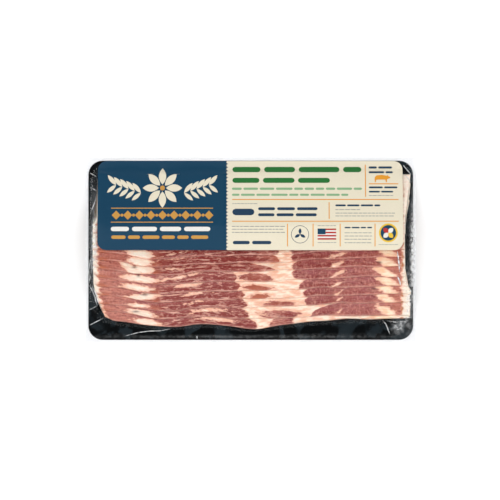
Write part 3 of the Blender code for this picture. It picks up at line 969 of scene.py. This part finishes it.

# %% [markdown]
# ## Creases of the film
#
# Where the hot film is pulled round the ends of the pile there is more of it than needed, and
# the spare film folds into thin standing ridges. Each is a small arched ridge that follows a
# line on the film and fades at both ends. Folded film scatters light, so it looks whitish, and
# that white also paints the glare that catches on each fold.

# %% Ridges along lines
# Each crease: its width and the places it runs through, in millimetres
CREASES = [
    (1.0, [(-130.2, -29.0), (-126.9, -35.6), (-124.2, -44.4)]),
    (0.8, [(-128.6, -28.1), (-125.0, -35.4), (-122.8, -43.9)]),
    (0.5, [(-130.9, -48.4), (-124.1, -44.8)]),
    (0.6, [(-130.4, -60.6), (-119.4, -55.0)]),
    (0.5, [(-129.9, -6.3), (-131.1, -16.8), (-130.5, -25.3)]),
    (0.5, [(-129.7, -6.3), (-129.0, -14.4), (-129.7, -21.7), (-130.4, -25.3)]),
    (0.6, [(-101.9, -69.5), (-91.3, -66.6), (-81.6, -65.4), (-73.5, -65.2), (-65.4, -63.8)]),
    (0.9, [(-43.5, -71.6), (-43.5, -69.4)]),
    (0.8, [(106.6, -56.3), (109.5, -60.0), (112.7, -68.2)]),
    (1.3, [(118.1, -0.5), (119.3, -9.0), (120.1, -17.6)]),
    (1.3, [(118.3, -20.9), (119.8, -24.0), (120.9, -28.1)]),
    (0.6, [(110.5, -57.0), (117.0, -58.2), (125.5, -57.6)]),
    (0.5, [(-130.2, 62.6), (-124.5, 59.3)]),
    (0.5, [(-130.2, 51.2), (-124.5, 48.0)]),
    (0.5, [(-130.2, 28.6), (-124.5, 43.1)]),
    (0.6, [(123.3, 69.1), (129.8, 61.0)]),
    (0.6, [(124.9, 61.0), (130.2, 54.5)]),
]
CREASE_HEIGHT = 0.35 * MM
# The creases' milky white is partly real and partly painted glare on the folds.
CREASE_HAZE_AND_GLARE = 0.95
CREASE_STEP = 0.8
ARCH = [(-0.5, 0.0), (-0.3, 0.75), (0.0, 1.0), (0.3, 0.75), (0.5, 0.0)]
film_tree = BVHTree.FromPolygons(lid_points, faces)


def on_film(x, y):
    """Return the film's height at a place."""
    hit = film_tree.ray_cast(Vector((x, y, 1.0)), Vector((0, 0, -1)))
    return hit[0].z


crease_points = []
crease_faces = []
for width, places in CREASES:
    route = []
    for (x0, y0), (x1, y1) in zip(places, places[1:]):
        count = math.ceil(math.hypot(x1 - x0, y1 - y0) / CREASE_STEP)
        route += [(blend(x0, x1, i / count) * MM, blend(y0, y1, i / count) * MM) for i in range(count)]
    route.append((places[-1][0] * MM, places[-1][1] * MM))
    start = len(crease_points)
    for step, (x, y) in enumerate(route):
        before, after = route[max(step - 1, 0)], route[min(step + 1, len(route) - 1)]
        along = Vector((after[0] - before[0], after[1] - before[1])).normalized()
        full = math.sin(math.pi * (step + 0.3) / (len(route) - 0.4)) ** 0.6
        for across, rise in ARCH:
            px = x - along.y * across * width * MM * full
            py = y + along.x * across * width * MM * full
            crease_points.append((px, py, on_film(px, py) + 0.02 * MM + rise * CREASE_HEIGHT * full))
    crease_faces += tube_faces(start, len(route) - 1, len(ARCH))
creases = make_piece("film_creases", crease_points, crease_faces, [clear_film])
# Milky white on the creases also paints their glare.
keep(creases, "haze_and_glare", [CREASE_HAZE_AND_GLARE] * len(crease_points))
print("creases", len(CREASES), "with", len(crease_faces), "faces")

# %% [markdown]
# ## The label
#
# The label is a satin paper sheet, printed in flat inks, and glued to the film. All its shapes
# are laid out flat, as a printer would, and cut into one sheet with their edges kept exact. The
# sheet is then bent over the pack. Its print is a plain design: fields of colour, ruled lines,
# bars where words would stand, and simple ornaments.

# %% Shapes for the print
LABEL_LEFT = -123.6
LABEL_RIGHT = 122.8
LABEL_FRONT = 0.1
LABEL_BACK = 72.2
shapes = []


def shape(ink, points):
    """Add a printed shape, in millimetres on the flat label."""
    shapes.append((ink, points))


def bar(ink, x0, x1, y0, y1):
    """Add a printed bar."""
    shape(ink, [(x0, y0), (x1, y0), (x1, y1), (x0, y1)])


def disc(ink, x, y, radius, sides=32):
    """Add a printed disc."""
    turns = [math.tau * i / sides for i in range(sides)]
    shape(ink, [(x + radius * math.cos(t), y + radius * math.sin(t)) for t in turns])


def words(ink, x0, x1, y0, y1, seed):
    """Add a line of round-ended bars of word length, as heavy as a line of print."""
    draw = random.Random(seed)
    radius = 0.31 * (y1 - y0)
    middle = (y0 + y1) / 2
    x = x0
    while x < x1 - 4 * radius:
        stop = min(x + radius * draw.uniform(6, 16), x1)
        ends = [(math.cos(turn), math.sin(turn)) for turn in (math.radians(90 + 45 * i) for i in range(5))]
        left = [(x + radius + radius * c, middle + radius * s) for c, s in ends]
        right = [(stop - radius - radius * c, middle - radius * s) for c, s in ends]
        shape(ink, left + right)
        x = stop + 1.3 * radius


def leaf(ink, x, y, long, wide_part, turn):
    """Add a leaf that points along turn, in degrees."""
    angle = math.radians(turn)
    outline = []
    for step in range(14):
        t = step / 14
        along = long * (t * 2 if t < 0.5 else 2 - t * 2)
        side = 1 if t < 0.5 else -1
        across = side * wide_part * math.sin(math.pi * along / long) ** 0.8 if 0 < along < long else 0.0
        outline.append((x + along * math.cos(angle) + across * math.sin(angle),
                        y + along * math.sin(angle) - across * math.cos(angle)))
    shape(ink, outline)


print("label", round(LABEL_RIGHT - LABEL_LEFT, 1), "x", round(LABEL_BACK - LABEL_FRONT, 1), "mm")

# %% [markdown]
# ## The blue field
#
# The left of the sheet is a dark blue field with a scalloped edge. It carries a cream flower
# between two sprays of leaves, a gold border of lozenges, and two lines of bars.

# %% The left field
SCALLOP = 2.8
SCALLOP_DEPTH = 1.5
FIELD_EDGE = -18.2
edge_points = []
y = LABEL_FRONT - 3.0
while y < LABEL_BACK + 2.0:
    for step in range(7):
        t = step / 7
        edge_points.append((FIELD_EDGE - SCALLOP_DEPTH * math.sin(math.pi * t) ** 0.7, y + SCALLOP * t))
    y += SCALLOP
shape("blue", [(LABEL_LEFT - 5, edge_points[-1][1]), (LABEL_LEFT - 5, edge_points[0][1])] + edge_points)
FLOWER_X = -71.3
FLOWER_Y = 50.3
for turn in range(0, 360, 45):
    across, up = math.cos(math.radians(turn)), math.sin(math.radians(turn))
    leaf("cream", FLOWER_X + 2.8 * across, FLOWER_Y + 2.8 * up, 13.2, 3.0, turn)
disc("gold", FLOWER_X, FLOWER_Y, 2.0, 16)
for side in (-1, 1):
    for step in range(5):
        x = FLOWER_X + side * (17.5 + step * 5.0)
        rise = FLOWER_Y - 4 + 1.6 * step
        leaf("cream", x, rise, 10.5, 1.75, 90 - side * 40)
        leaf("cream", x, rise, 9.5, 1.6, -90 + side * 50)
BORDER_Y = 28.3
LOZENGE_STEP = 9.35
DISC_AFTER = 4.67
for step in range(9):
    x = -108.5 + step * LOZENGE_STEP
    shape("gold", [(x - 3.6, BORDER_Y), (x, BORDER_Y - 3.7), (x + 3.6, BORDER_Y), (x, BORDER_Y + 3.7)])
    if step < 8:
        disc("gold", x + DISC_AFTER, BORDER_Y, 1.2, 12)
bar("gold", -112.6, -30.4, 33.6, 34.3)
bar("gold", -112.6, -30.4, 22.3, 23.0)
words("white", -112.8, -30.8, 14.3, 20.0, 3)
words("gold", -112.4, -31.4, 8.3, 12.8, 4)

print("shapes in the left field", len(shapes))

# %% [markdown]
# ## The cream field
#
# The right of the sheet is ruled into boxes by thin orange lines. Bars stand where lines of words
# would be, with the height, weight and colour that such lines have on a food label.

# %% The right field
# Each line of words: ink, left and right end, lower and upper edge, and the seed of its words
LINES = [
    ("green", -14.9, 89.6, 61.8, 68.8, 11), ("green", -14.9, 67.4, 53.2, 59.8, 12),
    ("pale_green", -15.2, 90.1, 48.2, 51.2, 13), ("pale_green", -15.2, 78.8, 43.4, 46.2, 14),
    ("navy", 95.4, 118.5, 65.6, 68.4, 21), ("navy", 95.4, 118.5, 61.8, 64.4, 22),
    ("navy", 95.4, 118.5, 49.6, 52.0, 23), ("navy", 95.4, 118.5, 46.2, 48.4, 24),
    ("grey", 95.4, 115.0, 43.8, 44.6, 25), ("grey", -14.9, 5.5, 37.2, 38.0, 31),
    ("navy", -14.9, 4.1, 26.6, 35.1, 32), ("navy", 5.9, 56.5, 31.6, 35.4, 33),
    ("navy", 5.9, 58.8, 26.7, 30.5, 34), ("navy", 68.2, 104.5, 35.0, 37.4, 35),
    ("grey", 68.2, 88.2, 32.3, 33.2, 36), ("grey", 68.2, 116.8, 29.5, 30.4, 37),
    ("grey", 68.2, 116.8, 27.2, 28.1, 38), ("grey", -15.2, 27.6, 18.7, 19.7, 41),
    ("grey", -15.2, 27.6, 16.4, 17.4, 42), ("grey", -15.2, 27.6, 13.9, 14.9, 43),
    ("navy", -14.5, 19.5, 4.0, 8.4, 44), ("navy", 75.5, 97.7, 17.3, 19.2, 51),
    ("grey", 75.5, 97.7, 13.6, 14.5, 52), ("grey", 75.5, 97.7, 11.0, 11.9, 53),
    ("grey", 75.5, 97.7, 8.4, 9.3, 54), ("grey", 75.5, 97.7, 5.6, 6.5, 55),
    ("grey", 53.8, 68.8, 19.4, 20.2, 61), ("grey", 53.8, 68.8, 5.8, 6.6, 62),
    ("grey", 103.0, 118.6, 4.2, 4.9, 63),
]
HALF_RULE = 0.38
for line in LINES:
    words(*line)
for y in (41.0, 23.4):
    bar("orange", -15.0, 119.3, y - HALF_RULE, y + HALF_RULE)
for x, y0, y1 in ((92.7, 43.2, 69.3), (63.2, 25.2, 38.8), (29.6, 3.1, 21.4), (50.2, 3.1, 21.4),
                  (72.0, 3.1, 21.4), (100.1, 3.1, 21.4)):
    bar("orange", x - HALF_RULE, x + HALF_RULE, y0, y1)
bar("orange", 95.4, 119.3, 53.3, 54.1)

print("shapes in both fields", len(shapes))

# %% [markdown]
# ## Small ornaments
#
# The boxes hold a round seal with three leaves, a striped flag, a bright round emblem and a pig.
# Each is cut from a few discs, bars and leaves.

# %% Ornaments of the right field
SEAL = (39.7, 12.8)
disc("navy", *SEAL, 7.2)
disc("cream", *SEAL, 6.8)
for turn in (90, 210, 330):
    leaf("navy", *SEAL, 5.0, 1.2, turn)
FLAG_LEFT, FLAG_RIGHT, FLAG_LOW, FLAG_HIGH = 53.8, 68.8, 8.5, 17.5
STRIPE = 2.57
bar("white", FLAG_LEFT, FLAG_RIGHT, FLAG_LOW, FLAG_HIGH)
for stripe in range(4):
    low_edge = FLAG_LOW + stripe * STRIPE
    bar("red", FLAG_LEFT, FLAG_RIGHT, low_edge, low_edge + 1.29)
bar("blue", FLAG_LEFT, 60.3, 12.9, FLAG_HIGH)
EMBLEM = (110.8, 14.0)
disc("yellow", *EMBLEM, 7.6)
disc("blue", *EMBLEM, 6.3)
for turn, ink in ((45, "white"), (135, "red"), (225, "white"), (315, "yellow")):
    leaf(ink, *EMBLEM, 5.4, 1.9, turn)

# A small standing pig, seen from the side, as a plain outline
PIG = [
    (-6, 0), (-5.2, 0), (-4.9, 1.8), (-3.8, 2.2), (2.8, 2.2), (3.4, 0), (4.2, 0), (4.5, 2.6), (5.6, 3.0),
    (7.0, 3.4), (7.2, 4.4), (5.6, 5.2), (4.9, 6.3), (4.3, 5.6), (0, 6.3), (-4.4, 5.9), (-5.8, 4.6),
    (-6.2, 2.6),
]
shape("orange", [(106.0 + x * 0.95, 55.0 + y * 0.95) for x, y in PIG])
print("label shapes", len(shapes))

# %% [markdown]
# ## Inks on paper
#
# The stock is coated paper, offset printed and varnished: satin, with a faint fibre mottle. Each
# ink is the same recipe in another colour, and a little uneven, because an ink film always is.

# %% Ink materials
INKS = {
    "cream": "#dfd6bf", "blue": "#083a54", "white": "#e0ded8", "gold": "#c28f45", "green": "#256c31",
    "pale_green": "#84ab80", "navy": "#1e3a52", "grey": "#8d8f8a", "orange": "#dc9530", "red": "#ac302a",
    "yellow": "#dfb838",
}
inks = {}
for name, code in INKS.items():
    inks[name], tree, shader = new_material(
        f"offset_ink_{name}", {"Roughness": 0.5, "Specular IOR Level": 0.2})
    place = add(tree, "ShaderNodeTexCoord", out="Object")
    mottle = add(tree, "ShaderNodeTexNoise", {"Vector": place, "Scale": 1 / (0.9 * MM), "Detail": 3.0})
    darker = add(tree, "ShaderNodeHueSaturation", {"Value": 0.9, "Color": linear(code)})
    uneven = add(tree, "ShaderNodeMixRGB", {0: mottle, 1: linear(code), 2: darker})
    bump = add(tree, "ShaderNodeBump", {"Height": mottle, "Strength": 0.08, "Distance": 0.05 * MM})
    feed(shader, {"Base Color": uneven, "Normal": bump})
ink_names = [name for name in INKS if name != "cream"] + ["cream"]
print("inks", len(inks))

# %% [markdown]
# ## Cut the sheet and bend it
#
# All outlines are cut into one flat sheet at once, and each piece of it takes the ink that was
# printed last there. The sheet is then bent down behind the crest, as the film is, and made as
# thick as paper.

# %% The printed sheet
LABEL_CORNER = 7.2
LABEL_THICKNESS = 0.28 * MM
ABOVE_FILM = 0.66 * MM
UNDER_FILM = 0.35 * MM


def label_height(x, y):
    """Return the height of the label's upper face."""
    if y <= PILE_END:
        return stack_top(x, y) + UNDER_FILM + ABOVE_FILM + GAP
    drop = min((y - PILE_END) / (PILE_FOOT - PILE_END), 1.0)
    edge = stack_top(x, PILE_END) + UNDER_FILM
    return blend(edge, STACK_BOTTOM, drop) + ABOVE_FILM * (2 - drop) + GAP


outline = []
for side_x, side_y, turn in ((1, 1, 0), (-1, 1, 90), (-1, -1, 180), (1, -1, 270)):
    middle_x = LABEL_RIGHT - LABEL_CORNER if side_x > 0 else LABEL_LEFT + LABEL_CORNER
    middle_y = LABEL_BACK - LABEL_CORNER if side_y > 0 else LABEL_FRONT + LABEL_CORNER
    for step in range(9):
        angle = math.radians(turn + step * 90 / 8)
        outline.append((middle_x + LABEL_CORNER * math.cos(angle),
                        middle_y + LABEL_CORNER * math.sin(angle)))
flat_points = []
flat_faces = []
flat_edges = []
for ink, points in [("cream", outline)] + shapes:
    area = sum(a[0] * b[1] - b[0] * a[1] for a, b in zip(points, points[1:] + points[:1]))
    ordered = points if area > 0 else points[::-1]
    flat_faces.append(list(range(len(flat_points), len(flat_points) + len(ordered))))
    flat_points += ordered
bend_lines = [LAST_FRONT / MM, PILE_END / MM, PILE_FOOT / MM, 10, 30, 40, 50]
cuts = [((LABEL_LEFT, y), (LABEL_RIGHT, y)) for y in bend_lines]
cuts += [((x, LABEL_FRONT), (x, LABEL_BACK)) for x in range(-115, 120, 10)]
for a, b in cuts:
    flat_edges.append((len(flat_points), len(flat_points) + 1))
    flat_points += [a, b]
cut_points, _, cut_faces, _, _, origins = delaunay_2d_cdt(
    [Vector(point) for point in flat_points], flat_edges, flat_faces, 1, 0.0001)
sheet_points = [(p.x * MM, p.y * MM, label_height(p.x * MM, p.y * MM)) for p in cut_points]
sheet_faces = []
face_inks = []
for face, origin in zip(cut_faces, origins):
    if 0 in origin:
        sheet_faces.append(face)
        top = max(origin)
        face_inks.append(ink_names.index("cream" if top == 0 else shapes[top - 1][0]))
label = make_piece("printed_label", sheet_points, sheet_faces,
                   [inks[name] for name in ink_names])
label.data.polygons.foreach_set("material_index", face_inks)
body = label.modifiers.new("Paper", "SOLIDIFY")
body.thickness = LABEL_THICKNESS
body.offset = -1.0
body.material_offset = len(inks)
body.material_offset_rim = len(inks)
label.modifiers.new("Even shading", "WEIGHTED_NORMAL")
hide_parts("label")
print("label faces", len(sheet_faces))
